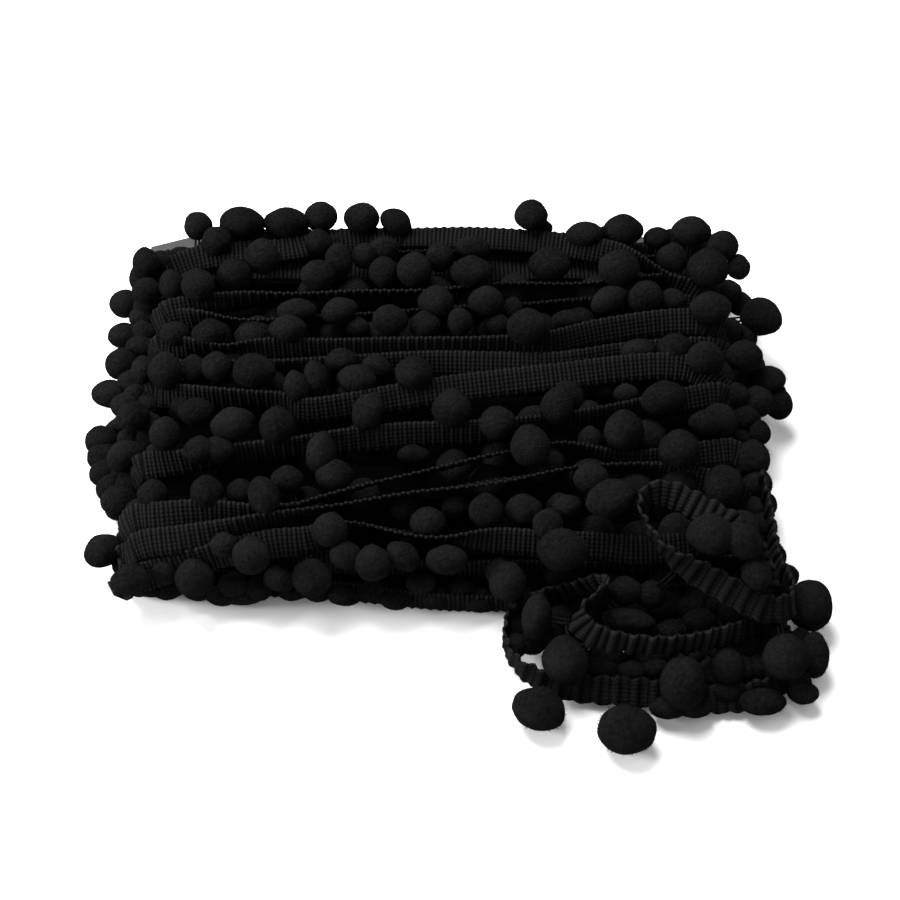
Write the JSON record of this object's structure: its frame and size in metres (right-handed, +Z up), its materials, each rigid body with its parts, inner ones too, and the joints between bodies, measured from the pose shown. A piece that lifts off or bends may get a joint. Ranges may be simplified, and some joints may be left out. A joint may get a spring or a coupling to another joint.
{
  "type": "pompom fringe trim",
  "caption": "Black ball fringe trim on a narrow ribbed tape, wound flat into a hank over a card, with a loose looped end in front.",
  "frame": {"origin": "middle of the hank's flat underside, on the surface that it lies on", "axes": "+Z up, +X along the turns towards the loose end's side, +Y towards the hank's plain back"},
  "size_m": [0.2767, 0.235, 0.055],
  "materials": {
    "wound_trim": "matte woven tape and fluffy balls",
    "card": "plain dark grey board",
    "header_tape": "matte ribbed weave",
    "ball_fringe": "soft fluffy pile"
  },
  "bodies": {
    "root": {"hank": "wound_trim", "card_core": "card", "loose_header": "header_tape", "loose_fringe": "ball_fringe"}
  },
  "joints": []
}
